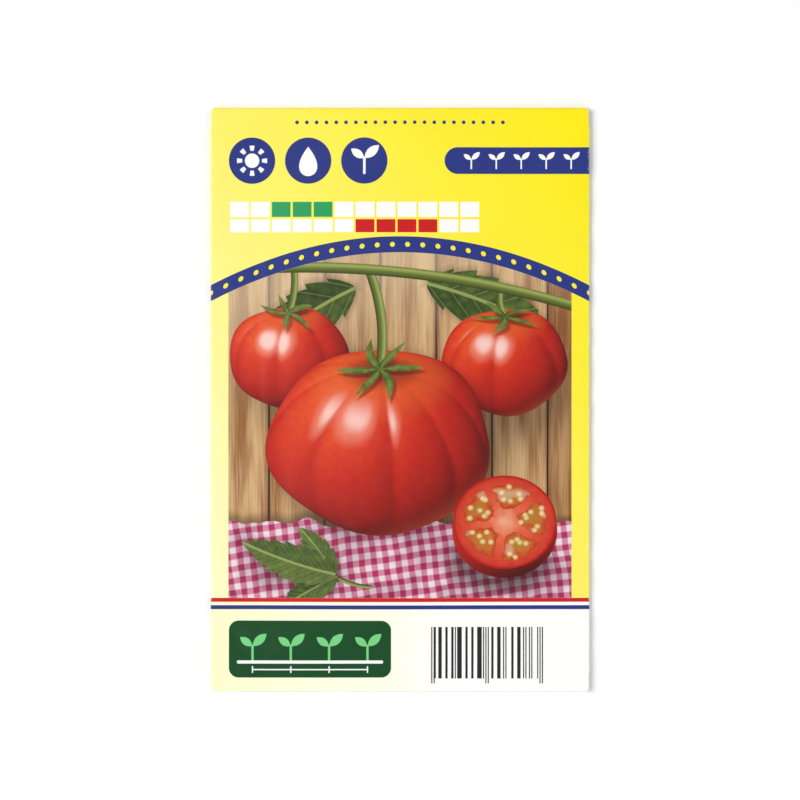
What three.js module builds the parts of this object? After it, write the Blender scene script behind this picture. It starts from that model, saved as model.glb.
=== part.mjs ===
// A sealed paper seed packet, lying on its back with its printed front face up.
//
// The packet is one die-cut sheet of coated paper. Its two side flaps fold in behind the front panel,
// the back panel folds up from the bottom edge and is glued onto them, and after filling the top flap
// folds down over the back panel and is glued too. Inside lies a four-side-sealed foil sachet, made of
// a front and a back web, with loose tomato seeds in its pocket.
//
// Units are millimetres. +X runs to the packet's right, +Y to its top edge, +Z up from the table.
// The origin is the middle of the packet, on the surface that it lies on.
import * as THREE from "three";

// Driving dimensions of the folded packet
const WIDTH = 85;
const HEIGHT = 131;
const PAPER = 0.15; // coated paper of about 120 g per square metre
const GLUE = 0.06; // a dry film of paste
const CLEAR = 0.03; // between layers that touch on the real packet
const ROOM = 0.08; // between the paper and what lies next to it inside
const SIDE_FLAP = 10; // width of each side flap
const SIDE_FLAP_END = 4; // the side flaps stop this far short of the top and bottom folds
const SIDE_FLAP_TIP = { width: 0.6, length: 6 }; // each end narrows to this share of the flap's width
const TOP_FLAP = 16; // depth of the top flap
const TOP_FLAP_TAPER = 0.09; // share by which the flap is narrower at its free edge
const END_INSET = 0.6; // on each side, so that the back panel and top flap stay inside the side folds
const BACK_SHORT = 6; // the back panel's free edge stops this far below the top fold

// How full the packet is: the front panel's rise over its edges, and how the back curls up at its rim
const FILL = 1.95;
const SLUMP = 0.24; // how much fuller it is low down than high up, because the seeds sink
const BACK_CURL = 0.5;
const FLAT_HALF = { x: 25, y: 36 }; // the middle of the back that lies flat on the table
const CURL_HALF = { x: 51, y: 59.5 }; // where the curl would be complete; the sides end before that

// The sachet and its pocket
const FOIL = 0.1;
const SACHET = { x: 0, y: -8, halfWidth: 31, halfHeight: 42 };
const SEAL = 6; // width of the sealed rim
const POCKET_RISE = 1.5;

// The seeds: flat ovals with one pointed end
const SEEDS = 30;
const SEED = { length: 3.3, width: 2.6, thick: 0.85 };
const SEED_POINT = 0.35; // share by which a seed is narrower at its pointed end
const SEED_HEAP = { x: 0, y: -16, halfWidth: 17, halfHeight: 17 };
const SEED_SPACING = 3.9; // least distance between two seeds' centres

// Heights of the stacked layers above the back panel's outer face, at the rim
const SEAM_GLUE_LOW = PAPER + CLEAR;
const SIDE_FLAP_LOW = SEAM_GLUE_LOW + GLUE + CLEAR;
const FRONT_LOW = SIDE_FLAP_LOW + PAPER + ROOM;
const FRONT_TOP = FRONT_LOW + PAPER;
const TOP_FLAP_LOW = -(PAPER + GLUE + 2 * CLEAR);
const BACK_FOIL_LOW = PAPER + ROOM;
const FRONT_FOIL_LOW = BACK_FOIL_LOW + FOIL + CLEAR;

const smooth = (from, to, value) => THREE.MathUtils.smoothstep(value, from, to);

// Height of the back panel's outer face: flat in the middle, curling up towards all four edges.
function backFace(x, y) {
  const sides = BACK_CURL * smooth(FLAT_HALF.x, CURL_HALF.x, Math.abs(x));
  const ends = BACK_CURL * smooth(FLAT_HALF.y, CURL_HALF.y, Math.abs(y));
  return Math.hypot(sides, ends);
}

// How far the front panel stands above its own rim, fullest a little below the middle.
function frontRise(x, y) {
  const across = Math.max(0, 1 - (2 * x / WIDTH) ** 2);
  const along = Math.max(0, 1 - (2 * y / HEIGHT) ** 2);
  return FILL * across ** 1.3 * along ** 1.1 * (1 - SLUMP * (y / HEIGHT));
}

// How far the sachet's front web stands above its sealed rim.
function pocketRise(x, y) {
  const across = (x - SACHET.x) / (SACHET.halfWidth - SEAL);
  const along = (y - SACHET.y) / (SACHET.halfHeight - SEAL);
  return POCKET_RISE * Math.max(0, 1 - across ** 4) * Math.max(0, 1 - along ** 4);
}

// A crease of the sheet: it leaves the front panel at the rim's height and turns half a circle back
// under itself. low is the height of the turned layer's outer face above the back panel's.
function crease(low) {
  const radius = (FRONT_TOP - low) / 2;
  return { radius, centre: low + radius, arc: Math.PI * (radius - PAPER / 2) };
}

const SIDE_CREASE = crease(SIDE_FLAP_LOW);
const BOTTOM_CREASE = crease(0);
const TOP_CREASE = crease(TOP_FLAP_LOW);

// Where a point of the sheet lies that is a given distance past the front panel's edge, measured
// along the sheet: its outward run, and its height above the back panel's outer face.
function turned(fold, distance, outer) {
  const radius = outer ? fold.radius : fold.radius - PAPER;
  const angle = THREE.MathUtils.clamp(distance / fold.arc, 0, 1) * Math.PI;
  const beyond = Math.max(0, distance - fold.arc);
  const before = Math.min(0, distance);
  return { run: before + radius * Math.sin(angle) - beyond, height: fold.centre + radius * Math.cos(angle) };
}

// The front panel's flat half-sizes, from the middle to where each crease begins
const FRONT_SIDE = WIDTH / 2 - SIDE_CREASE.radius;
const FRONT_BOTTOM = -(HEIGHT / 2 - BOTTOM_CREASE.radius);
const FRONT_TOP_EDGE = HEIGHT / 2 - TOP_CREASE.radius;

// A point of the folded sheet. across and along are measured on the flat blank from the middle of the
// front panel; outer picks the printed face or the inside.
function packetPoint(across, along, outer) {
  const side = Math.sign(across);
  const pastSide = Math.abs(across) - FRONT_SIDE;
  if (pastSide > 0) {
    // The side flaps taper towards their ends, so that they don't bulk up in the corners.
    const fromEnd = smooth(0, SIDE_FLAP_TIP.length, HEIGHT / 2 - SIDE_FLAP_END - Math.abs(along));
    const taper = SIDE_FLAP_TIP.width + (1 - SIDE_FLAP_TIP.width) * fromEnd;
    const past = SIDE_CREASE.arc + (pastSide - SIDE_CREASE.arc) * taper;
    const { run, height } = turned(SIDE_CREASE, Math.min(pastSide, Math.max(past, SIDE_CREASE.arc)), outer);
    const x = side * (FRONT_SIDE + run);
    return [x, along, backFace(x, along) + height];
  }
  const pastTop = along - FRONT_TOP_EDGE;
  if (pastTop > 0) {
    const { run, height } = turned(TOP_CREASE, pastTop, outer);
    const x = across * (1 - TOP_FLAP_TAPER * smooth(0, TOP_FLAP, pastTop));
    const y = FRONT_TOP_EDGE + run;
    return [x, y, backFace(x, y) + height];
  }
  const pastBottom = FRONT_BOTTOM - along;
  if (pastBottom > 0) {
    const { run, height } = turned(BOTTOM_CREASE, pastBottom, outer);
    const y = FRONT_BOTTOM - run;
    return [across, y, backFace(across, y) + height];
  }
  const top = backFace(across, along) + FRONT_TOP + frontRise(across, along);
  return [across, along, outer ? top : top - PAPER];
}

// Evenly spaced stations from one value to another, with the first left out.
function stations(from, to, count) {
  return Array.from({ length: count }, (_, i) => from + ((to - from) * (i + 1)) / count);
}

// A closed solid from a sheet on a grid of stations. point(c, r, outer) places a grid corner on the
// sheet's outer or inner face, and present(c, r) says if the cell between two stations each way is
// part of the sheet. A wall closes every free edge.
function sheetSolid(columns, rows, point, present = () => true) {
  const positions = [];
  const triangles = [];
  const known = new Map();
  const corner = (c, r, outer) => {
    const key = `${c} ${r} ${outer}`;
    if (!known.has(key)) {
      known.set(key, positions.length / 3);
      positions.push(...point(columns[c], rows[r], outer));
    }
    return known.get(key);
  };
  const quad = (a, b, c, d) => triangles.push(a, b, c, a, c, d);
  const there = (c, r) => {
    const inside = c >= 0 && r >= 0 && c < columns.length - 1 && r < rows.length - 1;
    return inside && present((columns[c] + columns[c + 1]) / 2, (rows[r] + rows[r + 1]) / 2);
  };
  const wall = (c0, r0, c1, r1) =>
    quad(corner(c0, r0, false), corner(c1, r1, false), corner(c1, r1, true), corner(c0, r0, true));
  for (let c = 0; c < columns.length - 1; c++) {
    for (let r = 0; r < rows.length - 1; r++) {
      if (!there(c, r)) continue;
      quad(corner(c, r, true), corner(c + 1, r, true), corner(c + 1, r + 1, true), corner(c, r + 1, true));
      quad(corner(c, r, false), corner(c, r + 1, false), corner(c + 1, r + 1, false), corner(c + 1, r, false));
      if (!there(c, r - 1)) wall(c, r, c + 1, r);
      if (!there(c + 1, r)) wall(c + 1, r, c + 1, r + 1);
      if (!there(c, r + 1)) wall(c + 1, r + 1, c, r + 1);
      if (!there(c - 1, r)) wall(c, r + 1, c, r);
    }
  }
  const geometry = new THREE.BufferGeometry();
  geometry.setAttribute("position", new THREE.Float32BufferAttribute(positions, 3));
  geometry.setIndex(triangles);
  geometry.computeVertexNormals();
  return geometry;
}

// The blank's columns, mirrored about its middle: front panel, side crease, side flap
const END_HALF = WIDTH / 2 - END_INSET;
const halfColumns = [
  ...stations(0, END_HALF, 6),
  FRONT_SIDE,
  ...stations(FRONT_SIDE, FRONT_SIDE + SIDE_CREASE.arc, 4),
  ...stations(FRONT_SIDE + SIDE_CREASE.arc, FRONT_SIDE + SIDE_CREASE.arc + SIDE_FLAP, 2),
];
const blankColumns = [...halfColumns.map((u) => -u).reverse(), 0, ...halfColumns];

// The blank's rows: back panel, bottom crease, front panel, top crease, top flap
const BACK_START = FRONT_BOTTOM - BOTTOM_CREASE.arc;
const BACK_EDGE = BACK_START - (HEIGHT - BACK_SHORT - BOTTOM_CREASE.radius);
const FLAP_EDGE = FRONT_TOP_EDGE + TOP_CREASE.arc + TOP_FLAP;
const SIDE_FLAP_HALF = HEIGHT / 2 - SIDE_FLAP_END;
const TIP_START = SIDE_FLAP_HALF - SIDE_FLAP_TIP.length;
const blankRows = [
  BACK_EDGE,
  ...stations(BACK_EDGE, BACK_START, 20),
  ...stations(BACK_START, FRONT_BOTTOM, 6),
  -SIDE_FLAP_HALF,
  ...stations(-SIDE_FLAP_HALF, -TIP_START, 2),
  ...stations(-TIP_START, TIP_START, 18),
  ...stations(TIP_START, SIDE_FLAP_HALF, 2),
  FRONT_TOP_EDGE,
  ...stations(FRONT_TOP_EDGE, FRONT_TOP_EDGE + TOP_CREASE.arc, 6),
  ...stations(FRONT_TOP_EDGE + TOP_CREASE.arc, FLAP_EDGE, 4),
];

// The blank's outline: a front panel with a flap on each of its four sides
function onBlank(across, along) {
  if (Math.abs(across) > FRONT_SIDE) return Math.abs(along) < SIDE_FLAP_HALF;
  if (along > FRONT_TOP_EDGE || along < FRONT_BOTTOM) return Math.abs(across) < END_HALF;
  return true;
}

// A flat strip or web of even thickness that lies at a height above the back panel's outer face.
function layerSolid(columns, rows, low, thick, rise = () => 0) {
  return sheetSolid(columns, rows, (x, y, outer) => [
    x,
    y,
    backFace(x, y) + low + rise(x, y) + (outer ? thick : 0),
  ]);
}

const span = (from, to, count) => [from, ...stations(from, to, count)];

const looks = {
  paper: new THREE.MeshStandardMaterial({ color: 0xf6e03a, roughness: 0.38, metalness: 0 }),
  glue: new THREE.MeshStandardMaterial({ color: 0xeae3cc, roughness: 0.45, metalness: 0 }),
  foil: new THREE.MeshStandardMaterial({ color: 0xc9cbd0, roughness: 0.25, metalness: 0.85 }),
  seed: new THREE.MeshStandardMaterial({ color: 0xd9bd86, roughness: 0.8, metalness: 0 }),
};

const packet = new THREE.Group();

function add(name, geometry, material) {
  const mesh = new THREE.Mesh(geometry, material);
  mesh.name = name;
  packet.add(mesh);
  return mesh;
}

// The folded paper
add("paper_packet", sheetSolid(blankColumns, blankRows, packetPoint, onBlank), looks.paper);

// The paste under the side seams, between each side flap and the back panel
const SEAM_PASTE = { inner: 33.5, outer: 39.5, halfLength: 53.5 };
for (const [name, side] of [["glue_left_seam", -1], ["glue_right_seam", 1]]) {
  const edges = [side * SEAM_PASTE.inner, side * SEAM_PASTE.outer].sort((a, b) => a - b);
  const rows = span(-SEAM_PASTE.halfLength, SEAM_PASTE.halfLength, 24);
  add(name, layerSolid(span(...edges, 2), rows, SEAM_GLUE_LOW, GLUE), looks.glue);
}

// The paste under the top flap, between it and the back panel's outer face
const FLAP_PASTE = { halfWidth: 36, from: 51.5, to: 58 };
const flapPaste = layerSolid(
  span(-FLAP_PASTE.halfWidth, FLAP_PASTE.halfWidth, 12),
  span(FLAP_PASTE.from, FLAP_PASTE.to, 3),
  TOP_FLAP_LOW + PAPER + CLEAR,
  GLUE,
);
add("glue_top_flap", flapPaste, looks.glue);

// The sachet's two webs, sealed face to face along their rim
const webColumns = span(SACHET.x - SACHET.halfWidth, SACHET.x + SACHET.halfWidth, 10);
const webRows = span(SACHET.y - SACHET.halfHeight, SACHET.y + SACHET.halfHeight, 14);
add("sachet_back_foil", layerSolid(webColumns, webRows, BACK_FOIL_LOW, FOIL), looks.foil);
add("sachet_front_foil", layerSolid(webColumns, webRows, FRONT_FOIL_LOW, FOIL, pocketRise), looks.foil);

// A small generator of repeatable draws between 0 and 1
function drawsFrom(seed) {
  let state = seed;
  return () => {
    state = (state * 1664525 + 1013904223) % 4294967296;
    return state / 4294967296;
  };
}

// Places for the seeds: random in an oval heap, turned down where they would touch another seed
function seedPlaces() {
  const draw = drawsFrom(71);
  const places = [];
  while (places.length < SEEDS) {
    const radius = Math.sqrt(draw());
    const angle = draw() * 2 * Math.PI;
    const x = SEED_HEAP.x + SEED_HEAP.halfWidth * radius * Math.cos(angle);
    const y = SEED_HEAP.y + SEED_HEAP.halfHeight * radius * Math.sin(angle);
    const turn = draw() * 2 * Math.PI;
    if (places.every((p) => Math.hypot(p.x - x, p.y - y) > SEED_SPACING)) places.push({ x, y, turn });
  }
  return places;
}

// A seed: a sphere flattened to an oval that narrows to a point at one end
function seedGeometry() {
  const geometry = new THREE.SphereGeometry(1, 8, 4).rotateX(Math.PI / 2);
  const at = geometry.getAttribute("position");
  for (let i = 0; i < at.count; i++) {
    const along = at.getX(i);
    const narrow = 1 - SEED_POINT * Math.max(0, along) ** 2;
    at.setXYZ(
      i,
      (along * SEED.length) / 2,
      (at.getY(i) * narrow * SEED.width) / 2,
      (at.getZ(i) * SEED.thick) / 2,
    );
  }
  return geometry;
}

const seedShape = seedGeometry();
seedPlaces().forEach(({ x, y, turn }, i) => {
  const seed = add(`seed_${String(i + 1).padStart(2, "0")}`, seedShape, looks.seed);
  seed.position.set(x, y, BACK_FOIL_LOW + FOIL + CLEAR + SEED.thick / 2);
  seed.rotation.z = turn;
});

export default packet;
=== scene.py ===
# %% [markdown]
# A paper seed packet, dressed for its portrait
#
# The object is a flat packet for garden seed. It is one sheet of coated paper, printed, die-cut, folded
# and glued, with a foil sachet of loose seeds inside. It lies on its back and we look straight down on
# its front. The frame already holds the solids at their real size, so this script only adds looks: a
# finer sheet with the small relief that paper has, and the print on it.

# %% Load the frame
import math

import bpy
import numpy as np
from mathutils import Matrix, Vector


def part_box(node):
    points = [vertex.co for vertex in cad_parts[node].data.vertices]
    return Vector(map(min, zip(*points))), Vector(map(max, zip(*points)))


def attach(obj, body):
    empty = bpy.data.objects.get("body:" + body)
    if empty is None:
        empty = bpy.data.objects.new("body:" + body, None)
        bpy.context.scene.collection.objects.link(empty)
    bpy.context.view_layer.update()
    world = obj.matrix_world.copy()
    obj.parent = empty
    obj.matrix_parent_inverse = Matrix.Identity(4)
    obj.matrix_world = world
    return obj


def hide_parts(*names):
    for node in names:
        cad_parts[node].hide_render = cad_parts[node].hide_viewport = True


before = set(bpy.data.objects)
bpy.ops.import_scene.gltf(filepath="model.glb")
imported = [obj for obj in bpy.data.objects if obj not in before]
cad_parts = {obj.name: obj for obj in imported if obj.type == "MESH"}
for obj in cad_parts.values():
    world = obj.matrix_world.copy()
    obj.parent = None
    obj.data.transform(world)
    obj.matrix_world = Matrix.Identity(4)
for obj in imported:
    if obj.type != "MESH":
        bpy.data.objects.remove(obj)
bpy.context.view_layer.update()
print(f"{len(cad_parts)} solids loaded")

# %% [markdown]
# Units and the outer size
#
# The maker of a packet thinks in millimetres, and Blender works in metres. The formulas below are in
# millimetres, and MM turns them into metres at the last moment. The outer sizes are read from the solid.

# %% Read the packet's size
MM = 0.001
packet_low, packet_high = (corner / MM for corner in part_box("paper_packet"))
WIDTH = packet_high.x - packet_low.x
HEIGHT = packet_high.y - packet_low.y
print(f"packet {WIDTH:.1f} by {HEIGHT:.1f} mm, {packet_high.z:.2f} mm thick")


# %% Put things in the scene
def place_in_scene(name, data):
    """A new object with this data, linked to the scene."""
    thing = bpy.data.objects.new(name, data)
    bpy.context.scene.collection.objects.link(thing)
    return thing


# %% [markdown]
# The camera
#
# The picture to match shows the front square on. A long lens from far above gives almost no perspective,
# which a flat object seen from above shouldn't have. The photograph is 800 pixels across, and the packet
# is 585 of them high, so the lens and the height above the table follow from one proportion.

# %% Aim a long lens from above
PHOTO_SIDE_PX = 800
PACKET_HEIGHT_PX = 585
PACKET_MIDDLE_PX = (400, 399.5)
LENS_MM = 135
SENSOR_MM = 36
FARTHEST = 10

view_width = HEIGHT * PHOTO_SIDE_PX / PACKET_HEIGHT_PX * MM
pixel = view_width / PHOTO_SIDE_PX
camera_height = view_width * LENS_MM / SENSOR_MM + packet_high.z * MM
camera_data = bpy.data.cameras.new("long_lens")
camera_data.lens = LENS_MM
camera_data.sensor_width = SENSOR_MM
camera_data.clip_end = FARTHEST
camera = place_in_scene("camera_above", camera_data)
camera.location = (
    (PHOTO_SIDE_PX / 2 - PACKET_MIDDLE_PX[0]) * pixel,
    (PACKET_MIDDLE_PX[1] - PHOTO_SIDE_PX / 2) * pixel,
    camera_height,
)
bpy.context.scene.camera = camera
print(f"camera {camera_height:.3f} m above the table sees {view_width / MM:.1f} mm")

# %% [markdown]
# The lamps
#
# Big soft lamps are what a product photographer would use here. The paper is glossy, so they stand well
# to the sides: from above, their mirror images then miss the lens, and only the gentle slopes of the
# paper catch them. Each is a square that faces the middle of the packet.

# %% Hang three soft lamps
LAMP_SIDE = 1.0
LAMPS = [
    ("window_left", (-1.15, 0.2, 1.15), 21.2),
    ("fill_right", (1.25, -0.1, 0.9), 7.1),
    ("fill_front", (0.0, -1.3, 0.9), 6.2),
]

for lamp_name, spot, watts in LAMPS:
    lamp_data = bpy.data.lights.new(lamp_name, "AREA")
    lamp_data.size = LAMP_SIDE
    lamp_data.energy = watts
    lamp = place_in_scene(lamp_name, lamp_data)
    lamp.location = spot
    lamp.rotation_euler = (-Vector(spot)).to_track_quat("-Z", "Y").to_euler()
    print(f"lamp {lamp_name}: {watts} W, {Vector(spot).length:.2f} m away")


# %% [markdown]
# Helpers for shader sums
#
# The print is drawn by sums on the surface's own coordinates, as a page description draws a page. Written
# as nodes one by one, such sums can't be read, so a small class wraps a node's output and lets Python's
# own operators add the Math nodes. Numbers that are the same everywhere stay plain Python numbers.

# %% Wrap a node's output
class Field:
    """A number that changes over the surface: one output of a node, ready for Python's operators."""

    def __init__(self, inks, socket):
        self.inks = inks
        self.socket = socket

    def __add__(self, other):
        return self.inks.math("ADD", self, other)

    __radd__ = __add__

    def __sub__(self, other):
        return self.inks.math("SUBTRACT", self, other)

    def __rsub__(self, other):
        return self.inks.math("SUBTRACT", other, self)

    def __mul__(self, other):
        return self.inks.math("MULTIPLY", self, other)

    __rmul__ = __mul__

    def __truediv__(self, other):
        return self.inks.math("DIVIDE", self, other)

    def __pow__(self, other):
        return self.inks.math("POWER", self, other)

    def __neg__(self):
        return self.inks.math("MULTIPLY", self, -1)

    def __abs__(self):
        return self.inks.math("ABSOLUTE", self)

    def __gt__(self, other):
        return self.inks.math("GREATER_THAN", self, other)

    def __lt__(self, other):
        return self.inks.math("LESS_THAN", self, other)


def is_linked(value):
    """True for what a node gives, and False for plain numbers, names and colours."""
    return isinstance(value, (Field, bpy.types.NodeSocket))


# %% Turn screen colours into light
def ink(red, green, blue):
    """A colour given as 0 to 255 on a screen, as the linear values that a shader works with."""
    def linear(value):
        share = value / 255
        return share / 12.92 if share <= 0.04045 else ((share + 0.055) / 1.055) ** 2.4
    return (linear(red), linear(green), linear(blue), 1)


print(f"a screen's middle grey gives {ink(128, 128, 128)[0]:.2f} of white's light")

# %% Gather the nodes of one tree
EDGE = 0.05


class Inks:
    """The nodes of one tree. make() adds any node; the other methods are the sums that the print uses."""

    def __init__(self, tree):
        self.tree = tree
        self.tree.nodes.clear()

    def make(self, kind, settings=None, sockets=None, out=0):
        """A node of a kind, with its settings made first, then its sockets filled or linked. A ramp's
        stops are the setting "stops". Gives the socket of the output asked for."""
        node = self.tree.nodes.new(kind)
        for key, value in (settings or {}).items():
            if key == "stops":
                self.fill_ramp(node.color_ramp, value)
            else:
                setattr(node, key, value)
        for key, value in (sockets or {}).items():
            if isinstance(value, Field):
                value = value.socket
            if isinstance(value, bpy.types.NodeSocket):
                self.tree.links.new(value, node.inputs[key])
            else:
                node.inputs[key].default_value = value
        return None if out is None else node.outputs[out]

    def fill_ramp(self, ramp, stops):
        """The ramp's stops, each a place from 0 to 1 and a colour."""
        while len(ramp.elements) < len(stops):
            ramp.elements.new(0.5)
        for element, (place, colour) in zip(ramp.elements, stops):
            element.position = place
            element.color = colour

    def math(self, operation, *values, clamp=False):
        """One Math node on fields or numbers."""
        settings = {"operation": operation, "use_clamp": clamp}
        return Field(self, self.make("ShaderNodeMath", settings, dict(enumerate(values))))

    def smaller(self, a, b):
        return self.math("MINIMUM", a, b)

    def larger(self, a, b):
        return self.math("MAXIMUM", a, b)

    def sine(self, angle):
        return self.math("SINE", angle)

    def part(self, value):
        """What is left of a number past its last whole one: a saw that repeats at each whole number."""
        return self.math("FRACT", value)

    def within(self, value):
        """The value, held between 0 and 1."""
        return self.math("MULTIPLY", value, 1, clamp=True)

    def length(self, a, b):
        """The length of the two-part vector (a, b)."""
        return self.math("SQRT", a * a + b * b)

    def bearing(self, up, across):
        """The angle of a direction, from the right towards up."""
        return self.math("ARCTAN2", up, across)

    def vector(self, x, y):
        return self.make("ShaderNodeCombineXYZ", {}, {0: x, 1: y})

    def split(self, vector):
        """The three numbers of a vector."""
        parts = self.make("ShaderNodeSeparateXYZ", {}, {0: vector}).node
        return [Field(self, parts.outputs[axis]) for axis in range(3)]

    def on_blank(self):
        """Where the point lies on the flat blank, across and along, as the mesh stores it."""
        return self.split(self.make("ShaderNodeAttribute", {"attribute_name": "blank"}, out="Vector"))[:2]

    def ease(self, value, start, end):
        """0 at start and 1 at end, smooth between them."""
        settings = {"interpolation_type": "SMOOTHSTEP"}
        return Field(self, self.make("ShaderNodeMapRange", settings, {0: value, 1: start, 2: end}))

    def cover(self, depth, soft=EDGE):
        """How much of a point a shape covers, from its depth inside the outline: 1 inside, 0 outside."""
        return Field(self, self.make("ShaderNodeMapRange", {}, {0: depth, 1: -soft, 2: soft}))

    def mix(self, share, below, above):
        """The colour above laid on the colour below."""
        sockets = {0: share, 6: below, 7: above}
        return self.make("ShaderNodeMix", {"data_type": "RGBA"}, sockets, out=2)

    def shade(self, share, below, by):
        """The colour below, multiplied by a colour where share is 1."""
        sockets = {0: share, 6: below, 7: by}
        return self.make("ShaderNodeMix", {"data_type": "RGBA", "blend_type": "MULTIPLY"}, sockets, out=2)

    def ramp(self, value, stops):
        """A colour that runs through the stops as value goes from 0 to 1."""
        return self.make("ShaderNodeValToRGB", {"stops": stops}, {0: value})

    def noise(self, place, scale, detail=2.0, axes="2D"):
        """Cloudy noise about 0.5, at a place given as a vector."""
        sockets = {"Vector": place, "Scale": scale, "Detail": detail}
        return Field(self, self.make("ShaderNodeTexNoise", {"noise_dimensions": axes}, sockets))

    def chance(self, number):
        """A number from 0 to 1 that looks random, but is always the same for the same number."""
        return Field(self, self.make("ShaderNodeTexWhiteNoise", {"noise_dimensions": "1D"}, {"W": number}))

    def bump(self, height, strength, deepest):
        """A bent normal for relief too fine for the mesh. The deepest is in metres."""
        return self.make("ShaderNodeBump", {}, {"Strength": strength, "Distance": deepest, "Height": height})

    def finish(self, base, roughness, normal=None, **fixed):
        """Ends the material in a Principled shader. Numbers in fixed go straight onto its sockets."""
        sockets = {"Base Color": base, "Roughness": roughness, **fixed}
        if normal is not None:
            sockets["Normal"] = normal
        shader = self.make("ShaderNodeBsdfPrincipled", {}, sockets)
        self.make("ShaderNodeOutputMaterial", {}, {"Surface": shader}, out=None)


# %% Make a material
def material_of(name, paint):
    """A new material whose nodes are made by paint(inks)."""
    material = bpy.data.materials.new(name)
    material.use_nodes = True
    paint(Inks(material.node_tree))
    print(f"material {name}: {len(material.node_tree.nodes)} nodes")
    return material


def give(piece, *materials):
    """Puts materials in a piece's slots."""
    piece.data.materials.clear()
    for material in materials:
        piece.data.materials.append(material)


# %% [markdown]
# Layers
#
# A printer builds a page from layers, and so does this script: each thing on the page is painted over what
# lies below it. A page of two thousand nodes in one tree would be slow to build and past reading, so each
# painter works in a node group of its own, and the page is a short list of named layers.

# %% Give each painter a group
def layer(paint):
    """Lets a painter work in a node group of its own. The fields and colours it is given become the
    group's inputs, and what it paints is the group's output."""
    def paint_in_group(inks, *given, **settings):
        group = bpy.data.node_groups.new(paint.__name__, "ShaderNodeTree")
        inner = Inks(group)
        entry = group.nodes.new("NodeGroupInput")
        outer = [value for value in (*given, *settings.values()) if is_linked(value)]
        for value in outer:
            kind = "NodeSocketFloat" if isinstance(value, Field) else "NodeSocketColor"
            group.interface.new_socket("given", in_out="INPUT", socket_type=kind)
        doors = iter(list(entry.outputs)[:len(outer)])

        def inside(value):
            """The group's own socket for a given value; a plain number or tuple stays as it is."""
            if not is_linked(value):
                return value
            return Field(inner, next(doors)) if isinstance(value, Field) else next(doors)

        placed = [inside(value) for value in given]
        named = {key: inside(value) for key, value in settings.items()}
        painted = paint(inner, *placed, **named)
        is_field = isinstance(painted, Field)
        kind = "NodeSocketFloat" if is_field else "NodeSocketColor"
        group.interface.new_socket("painted", in_out="OUTPUT", socket_type=kind)
        inner.make("NodeGroupOutput", {}, {0: painted}, out=None)
        result = inks.make("ShaderNodeGroup", {"node_tree": group}, dict(enumerate(outer)))
        return Field(inks, result) if is_field else result

    print(f"painter ready: {paint.__name__}")
    return paint_in_group


# %% [markdown]
# The room
#
# The rest of the light comes from the room itself: white walls, bright down by the table, and a dim
# ceiling, so that nothing pale is mirrored in the paper straight back at the lens. The colours are shown
# as they are, with no film curve.

# %% Light the room
WALL_GLOW = [(0.0, 1.0), (0.04, 0.85), (0.14, 0.45), (0.3, 0.33), (0.7, 0.28), (1.0, 0.1)]

world = bpy.data.worlds.new("soft_room")
world.use_nodes = True
room = Inks(world.node_tree)
upwards = room.split(room.make("ShaderNodeTexCoord", out="Generated"))[2]
walls = room.ramp(upwards, [(height, (glow, glow, glow, 1)) for height, glow in WALL_GLOW])
background = room.make("ShaderNodeBackground", {}, {"Color": walls})
room.make("ShaderNodeOutputWorld", {}, {"Surface": background}, out=None)
bpy.context.scene.world = world
bpy.context.scene.view_settings.view_transform = "Standard"
print(f"walls glow {WALL_GLOW[0][1]} by the table and {WALL_GLOW[-1][1]} overhead")

# %% [markdown]
# The folds
#
# A point of the flat blank is known by two numbers: how far it is across and along from the middle of
# the front panel. Folding sends it to a place in space. Past the front panel's edge the sheet runs round
# a half circle, then back under itself. The radius of each fold follows from the layers inside it: the
# side flaps lie on the back panel, the top flap lies under it, and paste fills the joints. A cloth
# simulation could fold it too, but a formula lands where the solid is, every time.

# %% Work out the folds
PAPER = 0.15
GLUE = 0.06
CLEAR = 0.03
ROOM = 0.08
SIDE_FLAP_LOW = PAPER + GLUE + 2 * CLEAR
FRONT_TOP = SIDE_FLAP_LOW + 2 * PAPER + ROOM
TOP_FLAP_LOW = -(PAPER + GLUE + 2 * CLEAR)


class Crease:
    """A half-circle fold from the front panel's rim down to a layer whose outer face is at height low."""

    def __init__(self, low):
        self.radius = (FRONT_TOP - low) / 2
        self.centre = low + self.radius
        self.arc = math.pi * (self.radius - PAPER / 2)

    def turn(self, distance, outer):
        """Run outwards, and height, of a point at a distance past the panel's edge along the sheet:
        radius times sine and cosine of the angle turned, then straight back."""
        radius = self.radius if outer else self.radius - PAPER
        angle = np.clip(distance / self.arc, 0, 1) * math.pi
        run = radius * np.sin(angle) - np.maximum(0, distance - self.arc)
        return run, self.centre + radius * np.cos(angle)


side_crease = Crease(SIDE_FLAP_LOW)
bottom_crease = Crease(0)
top_crease = Crease(TOP_FLAP_LOW)
for crease_name, crease in (("side", side_crease), ("bottom", bottom_crease), ("top", top_crease)):
    print(f"{crease_name} fold: radius {crease.radius:.3f} mm, {crease.arc:.2f} mm of paper")

# %% [markdown]
# The blank
#
# The blank is the front panel with a flap on each of its four sides. The bottom one is the whole back
# panel. The side flaps have slanted ends, and the top flap narrows towards its edge, so that none of them
# jams in a fold. These sizes repeat what the solid was drawn with.

# %% Lay out the blank
SIDE_FLAP = 10
SIDE_FLAP_END = 4
SIDE_FLAP_TIP = 0.6
SIDE_FLAP_TIP_LENGTH = 6
TOP_FLAP = 16
TOP_FLAP_TAPER = 0.09
END_INSET = 0.6
BACK_SHORT = 6

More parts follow.
